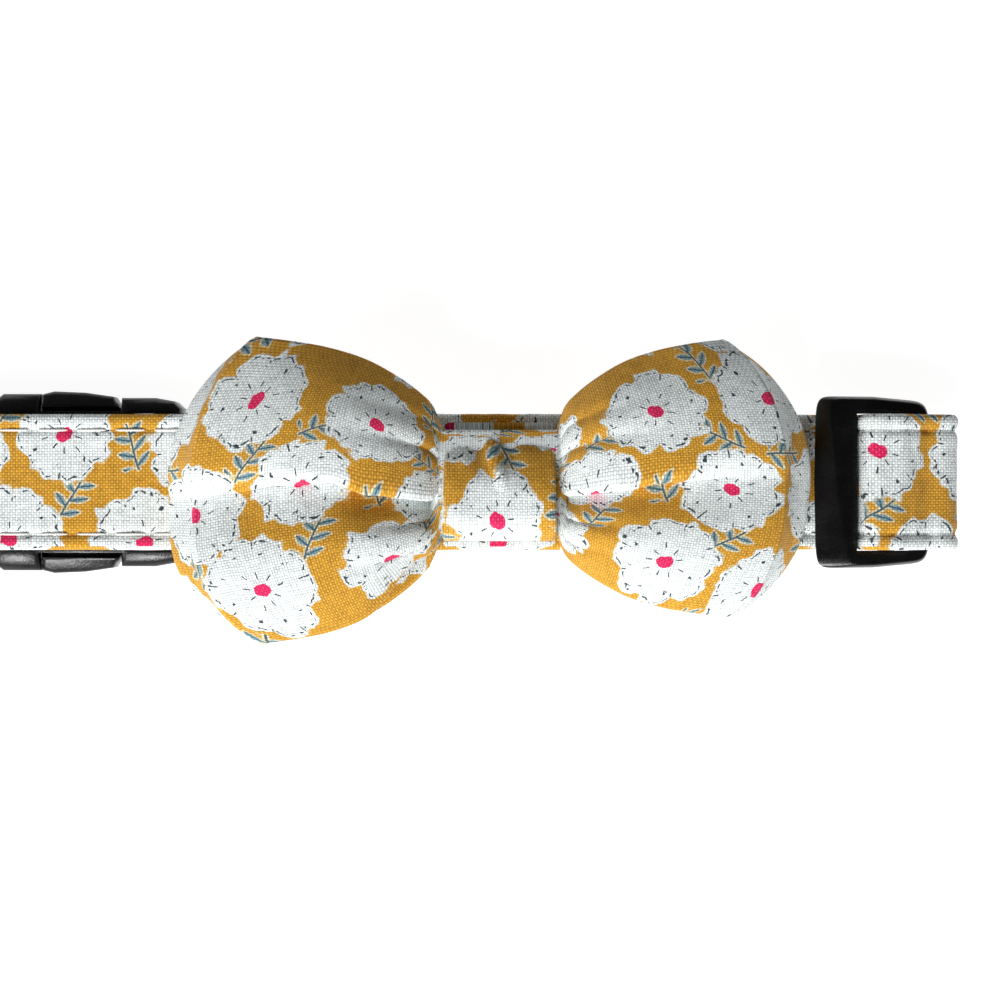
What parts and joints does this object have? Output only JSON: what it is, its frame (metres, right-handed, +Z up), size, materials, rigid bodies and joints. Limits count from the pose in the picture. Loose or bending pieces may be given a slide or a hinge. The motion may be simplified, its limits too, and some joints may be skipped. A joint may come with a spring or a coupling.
{
  "type": "pet bow tie collar",
  "caption": "Fabric pet collar with a puffed bow tie, a side-release buckle and a strap slider, buckled closed and lying flat.",
  "frame": {"origin": "middle of the collar's footprint, on the surface that it lies on", "axes": "+X along the flat collar towards the slider, +Y across the strap, +Z up through the bow"},
  "size_m": [0.178, 0.0446, 0.0232],
  "materials": {
    "printed_cotton": "plain-weave cotton, mustard ground with an off-white, pink and blue-grey flower print",
    "black_plastic": "satin black moulded plastic with a fine grain"
  },
  "bodies": {
    "root": {"collar_strap": "printed_cotton", "bow_loop": "printed_cotton", "bow_knot": "printed_cotton", "slider": "black_plastic", "buckle_female": "black_plastic", "buckle_male": "black_plastic"}
  },
  "joints": []
}
